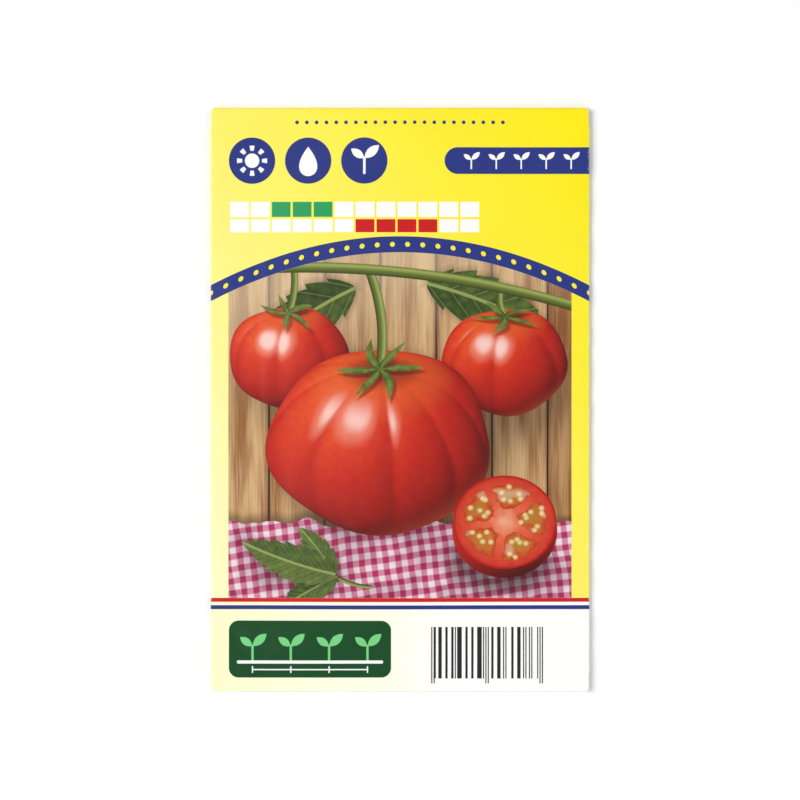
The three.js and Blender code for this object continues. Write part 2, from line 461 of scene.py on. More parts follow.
FRONT_SIDE = WIDTH / 2 - side_crease.radius
FRONT_BOTTOM = -(HEIGHT / 2 - bottom_crease.radius)
FRONT_TOP_EDGE = HEIGHT / 2 - top_crease.radius
SIDE_FLAP_HALF = HEIGHT / 2 - SIDE_FLAP_END
END_HALF = WIDTH / 2 - END_INSET
back_start = FRONT_BOTTOM - bottom_crease.arc
back_edge = back_start - (HEIGHT - BACK_SHORT - bottom_crease.radius)
flap_start = FRONT_TOP_EDGE + top_crease.arc
print(f"blank {flap_start + TOP_FLAP - back_edge:.1f} mm long")


def has_paper(across, along):
    """True where the blank has paper: on the front panel, and on the flap at each of its four sides."""
    past_ends = (along > FRONT_TOP_EDGE) | (along < FRONT_BOTTOM)
    in_ends = ~past_ends | (abs(across) < END_HALF)
    return np.where(abs(across) > FRONT_SIDE, abs(along) < SIDE_FLAP_HALF, in_ends)


# %% [markdown]
# The back panel's base
#
# Every layer lies on one base surface. It is flat where the packet touches the table and curls up at its
# rim, and the paste cockles the paper along the glued seams. The cockles could be modelled by hand, but a
# slow cosine along the edge, with its pace varied a little, looks the same and stays even.

# %% Curl the base
BACK_CURL = 0.5
FLAT_HALF_X, FLAT_HALF_Y = 25, 36
CURL_HALF_X, CURL_HALF_Y = 51, 59.5
COCKLE_HEIGHT = 0.1
COCKLE_LENGTH = 9.5
COCKLE_REACH = 14
COCKLE_END = 12


def smooth(start, end, value):
    """0 at start and 1 at end, with a level beginning and end: 3t^2 - 2t^3."""
    share = np.clip((value - start) / (end - start), 0, 1)
    return share * share * (3 - 2 * share)


def base_height(x, y):
    """Outer face of the back panel: flat in the middle, curled up at the rim, with cockles at the seams:
    a slow cosine along the edge, stronger the nearer the edge."""
    sides = BACK_CURL * smooth(FLAT_HALF_X, CURL_HALF_X, abs(x))
    ends = BACK_CURL * smooth(FLAT_HALF_Y, CURL_HALF_Y, abs(y))
    by_side = smooth(WIDTH / 2 - COCKLE_REACH, WIDTH / 2, abs(x))
    near_seam = by_side * smooth(HEIGHT / 2, HEIGHT / 2 - COCKLE_END, abs(y))
    phase = 2 * math.pi * y / COCKLE_LENGTH + 1.3 * np.sin(y / 17) + np.where(x > 0, 2.1, 0)
    return np.hypot(sides, ends) + COCKLE_HEIGHT * near_seam * np.cos(phase)


print(f"rim {base_height(0, HEIGHT / 2):.2f} mm off the table at the top")

# %% [markdown]
# What presses through
#
# What tells a real packet from a flat card is small. The sachet's rim and pocket show as low steps, and
# each seed as a soft bump. They could be sculpted, but their places are read from the solids inside, so
# the relief fits what is there.

# %% Press the sachet and the seeds through
SEAL = 6
RIM_STEP = 0.12
POCKET_STEP = 0.08
SEED_BUMP = 0.08
SEED_SPREAD = 1.5
SACHET_HALF_X = (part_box("sachet_front_foil")[1].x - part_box("sachet_front_foil")[0].x) / MM / 2
SACHET_LOW_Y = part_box("sachet_front_foil")[0].y / MM
SACHET_HIGH_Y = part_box("sachet_front_foil")[1].y / MM
seed_names = sorted(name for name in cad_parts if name.startswith("seed_"))
seed_middles = np.array([sum(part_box(name), Vector()) / 2 / MM for name in seed_names])
print(f"{len(seed_names)} seeds in a sachet {SACHET_HALF_X * 2:.1f} mm wide")


def plate(x, y, inset, soft):
    """1 within the sachet's outline less an inset, with a smooth step at each edge."""
    across = smooth(SACHET_HALF_X - inset + soft, SACHET_HALF_X - inset - soft, abs(x))
    low = smooth(SACHET_LOW_Y + inset - soft, SACHET_LOW_Y + inset + soft, y)
    high = smooth(SACHET_HIGH_Y - inset + soft, SACHET_HIGH_Y - inset - soft, y)
    return across * low * high


def imprint(x, y):
    """The sachet's rim and pocket as low steps, and each seed as a bell."""
    bumps = sum(np.exp(-((x - sx) ** 2 + (y - sy) ** 2) / SEED_SPREAD**2) for sx, sy, _ in seed_middles)
    return RIM_STEP * plate(x, y, 0, 0.9) + POCKET_STEP * plate(x, y, SEAL, 1.6) + SEED_BUMP * bumps


# %% [markdown]
# Slack and handling
#
# The front panel is a little loose, so it lies in wide shallow waves, and a packet that has been handled
# has a few soft creases near its corners. The waves are sines whose directions are drawn from a fixed
# seed, and a crease is a groove with the cross-section of a bell.

# %% Add waves and creases
WAVES = 7
WAVE_HEIGHT = 0.07
WAVE_LENGTHS = (26, 60)
CREASE_WIDTH = 0.8

# Each crease: from, to, and depth
HANDLING = [
    ((-41.5, -47.0), (-28.5, -64.5), 0.10),
    ((30.5, 64.5), (41.8, 51.0), 0.09),
    ((-41.8, 57.5), (-35.0, 64.8), 0.07),
    ((24.0, -64.5), (41.8, -52.5), 0.08),
    ((-41.8, 12.0), (-31.0, 20.0), 0.05),
    ((22.0, 36.0), (33.0, 29.0), 0.04),
]


def slack(x, y):
    """Wide shallow waves of the loose front panel: a few sines with set directions."""
    draws = np.random.default_rng(5)
    total = np.zeros_like(x)
    for _ in range(WAVES):
        angle = draws.uniform(0, math.pi)
        length = draws.uniform(*WAVE_LENGTHS)
        phase = draws.uniform(0, 2 * math.pi)
        total += np.sin(2 * math.pi * (x * math.cos(angle) + y * math.sin(angle)) / length + phase)
    return WAVE_HEIGHT * total


def groove(x, y, start, end, width):
    """1 on the line between two points, falling off as a bell across it and at its ends."""
    start, end = np.array(start), np.array(end)
    length = np.linalg.norm(end - start)
    along = (end - start) / length
    run = (x - start[0]) * along[0] + (y - start[1]) * along[1]
    aside = (x - start[0]) * along[1] - (y - start[1]) * along[0]
    over = run - np.clip(run, 0, length)
    return np.exp(-(aside**2 + over**2) / width**2)


def handling(x, y):
    """Depth of the handling creases."""
    return sum(depth * groove(x, y, start, end, CREASE_WIDTH) for start, end, depth in HANDLING)


print(f"{WAVES} waves and {len(HANDLING)} creases")

# %% [markdown]
# The front panel's rise
#
# The sachet fills the packet, so the front stands highest a little below its middle and falls to the
# folds at the rim. The fine relief fades out at the rim too, where the fold holds the paper taut.

# %% Fill the front
FILL = 1.95
SLUMP = 0.24
RIM_FADE = 5
FOLD_FADE = 1.5
SEAM_STEP = 0.05


def front_height(x, y):
    """Front panel's rise over its rim: full in the middle, with the fine relief faded out at the rim."""
    across = np.maximum(0, 1 - (2 * x / WIDTH) ** 2)
    along = np.maximum(0, 1 - (2 * y / HEIGHT) ** 2)
    fill = FILL * across**1.3 * along**1.1 * (1 - SLUMP * y / HEIGHT)
    rim = np.minimum(FRONT_SIDE - abs(x), np.minimum(FRONT_TOP_EDGE - y, y - FRONT_BOTTOM))
    relief = smooth(0, RIM_FADE, rim) * (imprint(x, y) + slack(x, y))
    seam_step = SEAM_STEP * smooth(FRONT_SIDE - SIDE_FLAP - 1.0, FRONT_SIDE - SIDE_FLAP, abs(x))
    return fill + relief + (seam_step - handling(x, y)) * smooth(0, FOLD_FADE, rim)


print(f"front rises {front_height(0.0, 0.0):.2f} mm in the middle")


# %% [markdown]
# Folding the blank
#
# One function sends a point of the blank to its place in space. Each zone of the blank has its own sum,
# and the zones are joined by a choice. The same sums with fewer stations made the solid.

# %% Fold a point
def packet_place(across, along, outer):
    """Where the fold sends points of the blank, as x, y and z in millimetres. Past a side, x is the
    fold's run and z its height; past an end, y and z are; and z adds the base below."""
    past_side = abs(across) - FRONT_SIDE
    from_end = smooth(0, SIDE_FLAP_TIP_LENGTH, SIDE_FLAP_HALF - abs(along))
    taper = SIDE_FLAP_TIP + (1 - SIDE_FLAP_TIP) * from_end
    tapered = side_crease.arc + (past_side - side_crease.arc) * taper
    beyond_front = np.where(past_side > side_crease.arc, tapered, past_side)
    side_run, side_height = side_crease.turn(beyond_front, outer)
    top_run, top_height = top_crease.turn(along - FRONT_TOP_EDGE, outer)
    bottom_run, bottom_height = bottom_crease.turn(FRONT_BOTTOM - along, outer)
    on_side, on_top, on_back = past_side > 0, along > FRONT_TOP_EDGE, along < FRONT_BOTTOM

    x = np.where(on_side, np.sign(across) * (FRONT_SIDE + side_run), across)
    narrowing = 1 - TOP_FLAP_TAPER * smooth(0, TOP_FLAP, along - FRONT_TOP_EDGE)
    x = np.where(on_top, across * narrowing, x)
    y = np.where(on_top, FRONT_TOP_EDGE + top_run, along)
    y = np.where(on_back, FRONT_BOTTOM - bottom_run, y)
    flat = FRONT_TOP + front_height(across, along) - (0 if outer else PAPER)
    z = np.where(on_side, side_height, flat)
    z = np.where(on_top, top_height, z)
    z = np.where(on_back, bottom_height, z)
    return np.stack([x, y, base_height(x, y) + z], axis=-1)


print(f"the middle of the blank goes to {packet_place(0.0, 0.0, True).round(2)} mm")


# %% [markdown]
# From a sheet to a closed mesh
#
# The sheet has a front and a back face on the same grid, and a wall along each free edge, so it is a
# closed body with the paper's own thickness. A Solidify modifier could thicken one face, but here each
# face follows its own radius in the folds. Each point also stores where it lies on the blank, and whether
# it is on the printed face. The print follows that, so it goes round the folds as ink does. The page is
# made up in zones, back, foot, window and head, and each face notes which zone it is in.

# %% Mark the page's zones
HEAD_FOOT = 37.5
FOOT_TOP = -44.5
ZONE_ENDS = [(FRONT_BOTTOM + back_start) / 2, FOOT_TOP, HEAD_FOOT]
print(f"zones end at {[round(end, 1) for end in ZONE_ENDS]} mm along the blank")


# %% Turn a grid into a closed sheet
SHARP = 50


def mesh_from(name, points, faces, blank):
    """A Blender mesh from arrays, in metres, smooth but for its cut edges, with the blank's coordinates."""
    mesh = bpy.data.meshes.new(name)
    mesh.from_pydata((points * MM).tolist(), [], faces.tolist())
    stored = mesh.attributes.new("blank", "FLOAT_VECTOR", "POINT")
    stored.data.foreach_set("vector", blank.astype(np.float32).ravel())
    mesh.shade_smooth()
    mesh.set_sharp_from_angle(angle=math.radians(SHARP))
    mesh.validate()
    print(f"{name}: {len(mesh.polygons)} quads")
    return mesh


def sheet_mesh(name, columns, rows, place, present):
    """A sheet on a grid of stations: two faces, and a wall where a cell has no neighbour."""
    across, along = np.meshgrid(columns, rows, indexing="ij")
    points = np.concatenate([place(across, along, outer).reshape(-1, 3) for outer in (True, False)])
    count = across.size
    face = np.repeat([1.0, -1.0], count)
    blank = np.stack([np.tile(across.ravel(), 2), np.tile(along.ravel(), 2), face], axis=-1)

    middles = [(marks[1:] + marks[:-1]) / 2 for marks in (columns, rows)]
    there = np.pad(present(*np.meshgrid(*middles, indexing="ij")), 1)
    core = there[1:-1, 1:-1]
    number = np.arange(count).reshape(across.shape)
    a, b, c, d = number[:-1, :-1], number[1:, :-1], number[1:, 1:], number[:-1, 1:]
    outer_quads = np.stack([k[core] for k in (a, b, c, d)], -1)
    quads = [outer_quads, np.stack([k[core] + count for k in (a, d, c, b)], -1)]
    free_edges = [
        (a, b, there[1:-1, :-2]),
        (b, c, there[2:, 1:-1]),
        (c, d, there[1:-1, 2:]),
        (d, a, there[:-2, 1:-1]),
    ]
    for start, end, neighbour in free_edges:
        free = core & ~neighbour
        s, e = start[free], end[free]
        quads.append(np.stack([s + count, e + count, e, s], -1))

    faces = np.concatenate(quads)
    printed = np.arange(len(faces)) < len(outer_quads)
    zone = np.digitize(blank[faces, 1].mean(axis=1), ZONE_ENDS)
    finish = np.where(printed, zone, len(ZONE_ENDS) + 1)
    used, faces = np.unique(faces, return_inverse=True)
    return mesh_from(name, points[used], faces.reshape(-1, 4), blank[used]), finish.astype(np.int32)


# %% [markdown]
# The stations
#
# The stations lie close together where the paper bends or shows its relief, and further apart on the
# flat back. Each fold has its own stations round the half circle, and the zones' ends are stations too,
# so that no face lies in two zones.

# %% Fold the packet
FRONT_STEP = 0.85
BACK_STEP = 2.2
SIDE_FLAP_STEP = 2.5
SIDE_INSET_STEP = 0.5


def stations(*stretches):
    """Stations over joined stretches, each given as its start and a largest step, with the last's end."""
    marks = [
        np.linspace(start, end, math.ceil((end - start) / step - 1e-6) + 1)
        for (start, step), (end, _) in zip(stretches, stretches[1:])
    ]
    return np.unique(np.round(np.concatenate(marks), 6))


side_end = FRONT_SIDE + side_crease.arc
half_columns = stations(
    (0, FRONT_STEP), (END_HALF, SIDE_INSET_STEP), (FRONT_SIDE, side_crease.arc / 8),
    (side_end, SIDE_FLAP_STEP), (side_end + SIDE_FLAP, 0),
)
columns = np.unique(np.concatenate([-half_columns, half_columns]))
front_marks = [FRONT_BOTTOM, -SIDE_FLAP_HALF, FOOT_TOP, HEAD_FOOT, SIDE_FLAP_HALF]
rows = stations(
    (back_edge, BACK_STEP), (back_start, bottom_crease.arc / 10),
    *((mark, FRONT_STEP) for mark in front_marks),
    (FRONT_TOP_EDGE, top_crease.arc / 12), (flap_start, BACK_STEP), (flap_start + TOP_FLAP, 0),
)
packet_mesh, packet_finish = sheet_mesh("folded_packet", columns, rows, packet_place, has_paper)
packet = place_in_scene("folded_packet", packet_mesh)

# %% [markdown]
# The artwork's plan
#
# The front carries a design of its own: a yellow ground, three round pictograms, a sowing calendar,
# an arched window with a still life of tomatoes, and a foot with a bar pattern and the planting distance.
# Everything is measured in millimetres from the panel's middle. Few inks are used, as on a real packet.
# The print could be a picture laid on the paper, but sums keep every edge sharp however near we look.

# %% Mix the inks
YELLOW = ink(255, 236, 20)
BLUE = ink(40, 53, 130)
WHITE = ink(253, 253, 250)
RED = ink(206, 24, 30)
DARK_GREEN = ink(6, 72, 30)
LEAF_GREEN = ink(38, 160, 92)
SPROUT_GREEN = ink(120, 210, 130)
CHARCOAL = ink(34, 33, 36)
print("eight inks mixed")

# %% [markdown]
# Plain shapes
#
# A flat shape is a sum that says how deep a point lies inside its outline, in millimetres. Where the sum
# is above zero there is ink, and cover() softens the edge by a twentieth of a millimetre. A disc, a block
# and a leaf are enough for all the signs.


# %% Draw discs and blocks
def disc(inks, x, y, centre, radius):
    """Depth inside a disc: radius minus the distance from its centre."""
    return radius - inks.length(x - centre[0], y - centre[1])


def block(inks, x, y, centre, half_width, half_height, corner=0.0):
    """Depth inside a rectangle. With rounded corners it is the corner's radius minus how far a point is
    past the smaller rectangle that the corners' centres make."""
    past_x = abs(x - centre[0]) - (half_width - corner)
    past_y = abs(y - centre[1]) - (half_height - corner)
    if corner:
        return corner - inks.length(inks.larger(past_x, 0), inks.larger(past_y, 0))
    return -inks.larger(past_x, past_y)


print(f"outlines soften over {EDGE * 2} mm")


# %% Draw leaves
def leaf_space(x, y, base, angle, length, bend=0.0):
    """How far along a leaf a point is, from 0 at its base to 1 at its tip, and how far aside of its
    curved midrib, both in leaf lengths."""
    along_x, along_y = math.cos(angle) / length, math.sin(angle) / length
    dx, dy = x - base[0], y - base[1]
    along = dx * along_x + dy * along_y
    aside = dy * along_x - dx * along_y
    if bend:
        aside = aside - along * along * bend
    return along, aside


def plain_leaf(inks, x, y, base, angle, length, half_width):
    """Depth inside a simple leaf: half-width 4 s (1 - s) at a share s of the way along, in millimetres."""
    along, aside = leaf_space(x, y, base, angle, length)
    inside = inks.math("MULTIPLY", along, 1 - along, clamp=True)
    return (inside * (4 * half_width / length) - abs(aside)) * length - EDGE


print(f"the middle of a 20 mm leaf is {leaf_space(10, 0, (0, 0), 0, 20)[0]} of the way along it")


# %% [markdown]
# Pictograms
#
# The round tags say how to grow the plant: full sun, regular water, and raise from seed. They are plain
# public signs, drawn from discs, a drop and two leaves.

# %% Draw the sun
@layer
def sun_sign(inks, x, y, centre, size):
    """A disc with eight rays: the rays are where the cosine of eight times the angle is high."""
    dx, dy = x - centre[0], y - centre[1]
    reach = inks.length(dx, dy)
    spokes = inks.math("COSINE", inks.bearing(dy, dx) * 8) * reach
    ring = size * 0.16 - abs(reach - size * 0.78)
    rays = inks.cover(inks.smaller(ring, (spokes - reach * 0.25) * 0.3))
    return inks.larger(inks.cover(size * 0.45 - reach), rays)


# %% Draw the drop
@layer
def drop_sign(inks, x, y, centre, size):
    """A drop: half-width 1.75 sqrt(t) (1 - t) at a share t of its height."""
    share = inks.within((y - (centre[1] - size)) / (2.15 * size))
    half = inks.math("SQRT", share) * (1 - share) * (1.75 * size)
    return inks.cover(half - abs(x - centre[0]) - EDGE)


# %% Draw the seedling
@layer
def seedling_sign(inks, x, y, centre, size):
    """A stem with two leaves, one larger than the other."""
    foot = (centre[0], centre[1] - size * 0.1)
    stem = block(inks, x, y, (centre[0], centre[1] - size * 0.5), size * 0.07, size * 0.5)
    right = plain_leaf(inks, x, y, foot, math.radians(42), size * 1.15, size * 0.27)
    left = plain_leaf(inks, x, y, foot, math.radians(144), size * 0.95, size * 0.24)
    return inks.cover(inks.larger(stem, inks.larger(right, left)))


# %% [markdown]
# Signs that measure
#
# Two more signs show how far apart the plants stand and how deep the seed lies. A row of things is one
# thing drawn once: the part of x past its last whole step repeats it along the row.

# %% Draw the planting distance
PLANT_STEP = 8.6
PLANTS = 4


@layer
def spacing_sign(inks, ground, x, y, centre):
    """How far apart to plant: four seedlings at equal steps on a line of soil, over a rule with a tick
    below each plant."""
    panel = inks.cover(block(inks, x, y, centre, 18.2, 6.4, 2.2))
    ground = inks.mix(panel, ground, DARK_GREEN)
    row = (inks.part((x - centre[0]) / PLANT_STEP) - 0.5) * PLANT_STEP
    in_row = abs(x - centre[0]) < PLANTS * PLANT_STEP / 2
    sprouts = seedling_sign(inks, row, y, (0, centre[1] + 1.0), 3.7) * in_row
    ground = inks.mix(sprouts, ground, SPROUT_GREEN)
    soil = inks.cover(block(inks, x, y, (centre[0], centre[1] - 2.9), 16.4, 0.35, 0.3))
    rule_middle = (centre[0], centre[1] - 4.6)
    rule = inks.cover(block(inks, x, y, rule_middle, (PLANTS - 1) * PLANT_STEP / 2, 0.14))
    ticks = inks.cover(block(inks, row, y, (0, rule_middle[1]), 0.14, 0.75)) * in_row
    return inks.mix(inks.larger(soil, inks.larger(rule, ticks)), ground, WHITE)


# %% Draw the sowing depth
SOIL = ink(122, 84, 52)


@layer
def depth_sign(inks, ground, x, y, centre):
    """How deep to sow: a seedling above a bed of soil, a seed within it, and a rule beside the seed."""
    tile = block(inks, x, y, centre, 7.2, 7.2, 1.4)
    ground = inks.mix(inks.cover(tile), ground, DARK_GREEN)
    bed = inks.smaller(tile - 0.9, centre[1] - 0.6 - y)
    ground = inks.mix(inks.cover(bed), ground, SOIL)
    sprout = seedling_sign(inks, x, y, (centre[0] - 1.2, centre[1] + 3.1), 3.9)
    ground = inks.mix(sprout, ground, SPROUT_GREEN)
    seed = 1.0 - inks.length((x - centre[0] + 1.2) / 1.35, y - centre[1] + 4.0)
    rule = block(inks, x, y, (centre[0] + 3.4, centre[1] - 2.3), 0.16, 1.7)
    return inks.mix(inks.cover(inks.larger(seed, rule)), ground, WHITE)


# %% [markdown]
# The sowing calendar and the bar pattern
#
# Twelve cells in a row show when to sow and when to pick. A cell is where the part of the column number
# is away from its ends, so one sum draws all twelve. The bars at the foot are as wide as a shop's bars,
# but two waves of unlike length say which are dark, so they spell nothing.

# %% Draw the calendar
MONTHS = 12


@layer
def calendar(inks, ground, x, y, left, top, pitch, height, seasons, empty):
    """Rows of twelve cells on the ground. seasons gives each row's first and last coloured cell and its
    colour, and empty is the colour of the other cells."""
    column = (x - left) / pitch
    aside = abs(inks.part(column) - 0.5)
    in_table = abs(column - MONTHS / 2) < MONTHS / 2
    for number, (first, last, colour) in enumerate(seasons):
        middle = top - height * (number + 0.5) * 1.15
        depth = inks.smaller((0.45 - aside) * pitch, height / 2 - abs(y - middle))
        chosen = abs(column - (first + last) / 2) < (last - first) / 2
        ground = inks.mix(inks.cover(depth) * in_table, ground, inks.mix(chosen, empty, colour))
    return ground


# %% Draw the bars
BAR_MODULE = 0.264
MODULES = 95
GUARD_DROP = 1.1


@layer
def bars(inks, x, y, left, low, height):
    """Bars of one to four modules, dark where sin(2.6 n) + sin(1.13 n) is over 0.2 for module number n.
    The pairs at both ends and in the middle reach lower, as on any shop's bars."""
    number = inks.math("FLOOR", (x - left) / BAR_MODULE)
    guard = inks.math("PINGPONG", number, (MODULES - 1) / 4) < 2.5
    striped = inks.math("MODULO", number, 2) < 0.5
    waves = inks.sine(number * 2.6) + inks.sine(number * 1.13)
    dark = inks.larger(guard * striped, (1 - guard) * (waves > 0.2))
    inside = (y > low - guard * GUARD_DROP) * (y < low + height)
    return dark * inside * (abs(number - (MODULES - 1) / 2) < MODULES / 2)


# %% [markdown]
# Painting a tomato
#
# In the window, a tomato is painted as a ball with ribs. From a point on the disc we know the ball's
# direction there, and from that its longitude about the stem. A rib is a step in the longitude: its
# surface leans left, then level, then right, so it changes how much light it gets. The painter's recipe
# is then a tone for the light, a pale patch where the window is mirrored, and dark in the grooves. A
# modelled fruit would stand up from the paper, and here it has to stay flat ink.

# %% Set the painter's light
LIGHT = Vector((-0.42, 0.52, 0.74)).normalized()
GLINT = Vector((-0.24, 0.34, 0.91)).normalized()
TOMATO_SKIN = [
    (0.0, ink(92, 12, 8)), (0.2, ink(124, 16, 11)), (0.45, ink(164, 26, 17)),
    (0.7, ink(194, 38, 21)), (0.88, ink(216, 58, 27)), (1.0, ink(230, 84, 38)),
]
SHOULDER = ink(222, 110, 40)
STALK_PIT = ink(92, 20, 10)
HALO = ink(242, 160, 138)
PANE = ink(255, 228, 218)
BACK_GLOW = ink(196, 74, 44)
SHADOW = ink(38, 20, 12)
print(f"light from {math.degrees(math.asin(LIGHT.z)):.0f} degrees above the page")


# %% Work out a ribbed ball
def ribbed_ball(inks, u, v, out, tilt, ribs, turn, lean):
    """The form of a ribbed ball whose stem end is tilted towards us: the height towards the stem, how near
    a point is to a groove, how strong the ribs are there, and a function for the light from a direction."""
    up_share, out_share = math.cos(tilt), math.sin(tilt)
    height = v * up_share + out * out_share
    longitude = inks.bearing(u, out * up_share - v * out_share)
    width = inks.math("SQRT", inks.larger(1 - height * height, 0))

    warped = longitude * (ribs / (2 * math.pi)) + 0.16 * inks.sine(longitude * 2 + turn * 2.3)
    place = inks.part(warped + (turn + 20)) * 2 - 1
    groove_near = abs(place)
    strength = width * (0.4 + 0.6 * inks.ease(height, -0.55, 0.6))
    slope = place * groove_near * (1 - groove_near**7) * strength * lean
    sine, cosine = inks.sine(longitude), inks.math("COSINE", longitude)

    def lit_by(direction):
        """Share of a direction's light: the ball's own, plus what the rib's lean adds."""
        ball = u * direction.x + v * direction.y + out * direction.z
        aside = cosine * direction.x + sine * (direction.y * out_share - direction.z * up_share)
        return ball + slope * aside

    return height, groove_near, strength, lit_by


# %% Paint the tomato
@layer
def tomato(inks, ground, x, y, grain, centre, radius, squash, tilt, ribs, turn, lean):
    """A ribbed tomato laid on the ground. Its outline is a circle, squashed and a little lumpy."""
    u = (x - centre[0]) / radius
    v = (y - centre[1]) / (radius * squash)
    bearing = inks.bearing(v, u)
    lumps = 1 + 0.022 * inks.math("COSINE", bearing * 5 + turn) + 0.016 * inks.sine(bearing * 3 - turn)
    reach = inks.length(u, v) / lumps
    out = inks.math("SQRT", inks.larger(1 - reach * reach, 0))
    height, groove_near, strength, lit_by = ribbed_ball(inks, u, v, out, tilt, ribs, turn, lean)

    tone = (lit_by(LIGHT) + 0.45) / 1.45 - groove_near**6 * 0.16 * strength - (1 - out) ** 4 * 0.12
    skin = inks.ramp(tone + (grain - 0.5) * 0.13, TOMATO_SKIN)
    shoulder = inks.ease(height, 0.72, 0.95)
    skin = inks.mix(shoulder * 0.35, skin, SHOULDER)
    pit = inks.ease(height, 0.93, 1.0)
    skin = inks.mix(pit * 0.75, skin, STALK_PIT)
    mirrored_window = lit_by(GLINT) - groove_near * 0.02
    halo = inks.ease(mirrored_window, 0.90, 0.985) * (1 - shoulder)
    skin = inks.mix(halo * 0.6, skin, HALO)
    pane = inks.ease(mirrored_window, 0.955, 0.998) * (1 - shoulder)
    skin = inks.mix(pane * 0.7, skin, PANE)
    back_glow = inks.ease(u * 0.55 - v * 0.75 - out * 0.35, 0.5, 0.95)
    skin = inks.mix(back_glow * 0.4, skin, BACK_GLOW)
    return inks.mix(inks.cover((1 - reach) * radius, 0.07), ground, skin)


# %% Paint soft shadows
@layer
def soft_shadow(inks, ground, x, y, centre, half_width, half_height, strength, inner):
    """A dark oval that fades out from an inner share of its radius to its rim."""
    reach = inks.length((x - centre[0]) / half_width, (y - centre[1]) / half_height)
    return inks.mix(inks.ease(reach, 1.0, inner) * strength, ground, SHADOW)


# %% [markdown]
# The crown
#
# At the stem end a tomato has a green star of five or six narrow leaves, which curl. The star's outline is
# a saw of the angle about its centre, raised to a power, and a soft copy of it, shifted down, is its
# shadow on the skin.

# %% Paint the crown
CROWN_GREEN = [(0.0, ink(38, 50, 16)), (0.45, ink(78, 96, 34)), (1.0, ink(140, 156, 74))]


@layer
def crown(inks, ground, x, y, grain, centre, size, flat, sepals, turn):
    """The green star. Its outline's reach is a power of how near the angle is to a ray, and the angle is
    turned more the further out, by a share that varies little round the star, which curls the tips."""
    def star(shift_x, shift_y, soft):
        dx, dy = (x - centre[0] - shift_x) / size, (y - centre[1] - shift_y) / (size * flat)
        reach = inks.length(dx, dy)
        bearing = inks.bearing(dy, dx)
        curl = 0.3 + 0.34 * inks.sine(bearing * 2 + turn * 4)
        angle = bearing + turn + reach * curl
        ray = 1 - abs(inks.part(angle * (sepals / (2 * math.pi)) + 20.5) - 0.5) * 2
        uneven = 0.86 + 0.14 * inks.sine(angle * 2 + turn * 3)
        depth = (0.14 + 0.9 * ray**1.9 * uneven - reach) * size
        return reach, ray, inks.cover(depth, soft)

    _, _, shade = star(0.6, -0.9, 0.9)
    in_front = inks.ease(y, centre[1] + size * 0.3, centre[1])
    ground = inks.mix(shade * in_front * 0.55, ground, ink(60, 8, 5))
    reach, ray, shape = star(0, 0, 0.06)
    tone = ray * 0.55 + (grain - 0.5) * 0.7 + 0.2 - reach * 0.1
    return inks.mix(shape, ground, inks.ramp(tone, CROWN_GREEN))


# %% [markdown]
# Painting leaves and stems
#
# A leaf is a curved midrib with a width that swells and narrows again. The teeth are a saw of the
# distance along, the side veins are a saw that also leans outwards, and each half of the blade gets its
# own tone, as the two halves of a real leaf face the light differently. A stem is a bowed strip, and its
# shading across makes it round.

# %% Paint a leaf
BLADE_GREEN = [
    (0.0, ink(30, 44, 16)), (0.35, ink(62, 82, 32)), (0.7, ink(98, 118, 52)), (1.0, ink(150, 164, 88)),
]
VEIN_GREEN = ink(156, 170, 98)


@layer
def leaf(inks, ground, x, y, grain, base, angle, length, half_width, bend, teeth, bright):
    """A toothed leaf laid on the ground. Half-width s^0.6 (1 - s)^0.85 at a share s of the way along."""
    along, aside = leaf_space(x, y, base, math.radians(angle), length, bend)
    inside = inks.within(along)
    body = inside**0.6 * (1 - inside) ** 0.85 * (1.9 * half_width / length)
    toothed = body * (0.84 + inks.part(along * teeth) * 0.2)
    depth = inks.smaller(toothed - abs(aside), 0.5 - abs(along - 0.5)) * length
    ground = inks.mix(inks.cover(depth + 0.5, 1.1) * 0.45, ground, ink(34, 22, 14))

    from_vein = abs(inks.part(along * teeth - abs(aside) * (teeth * 1.3)) - 0.5)
    midrib = inks.cover((0.012 - abs(aside)) * length, 0.1)
    lit_half = inks.ease(aside, -0.02, 0.02)
    tone = 0.30 + bright + lit_half * 0.16 + (0.5 - from_vein) * 0.42 + (grain - 0.5) * 0.5
    veins = inks.larger(inks.ease(from_vein, 0.43, 0.5) * 0.35, midrib * 0.8)
    blade = inks.mix(veins, inks.ramp(tone, BLADE_GREEN), VEIN_GREEN)
    return inks.mix(inks.cover(depth - EDGE), ground, blade)


# %% Paint a stem
STEM_GREEN = [
    (0.0, ink(52, 62, 22)), (0.45, ink(104, 118, 48)), (0.75, ink(158, 170, 92)), (1.0, ink(96, 108, 44)),
]


@layer
def vine(inks, ground, x, y, start, end, sag, half_width):
    """A stem from start to end that sags or rises as a parabola, rounded by its shading."""
    length = math.dist(start, end)
    angle = math.atan2(end[1] - start[1], end[0] - start[0])
    along, aside = leaf_space(x, y, start, angle, length)
    bow = (along * along - along) * (4 * sag / length)
    share = (aside + bow) * (length / half_width)
    depth = inks.smaller((1 - abs(share)) * half_width, (0.5 - abs(along - 0.5)) * length)
    return inks.mix(inks.cover(depth), ground, inks.ramp(share * 0.5 + 0.5, STEM_GREEN))


# %% [markdown]
# The cut half
#
# The half tomato shows its inside: skin, wall, and chambers of jelly with pale seeds, parted by spokes.
# The spokes are equal steps of the angle about the core, and the seeds are the cells of a Voronoi pattern.
# Only a cell whose middle lies in a chamber has a seed, so no seed is cut off.

# %% Work out the chambers
CHAMBERS = 5
CHAMBER_TURN = 0.4


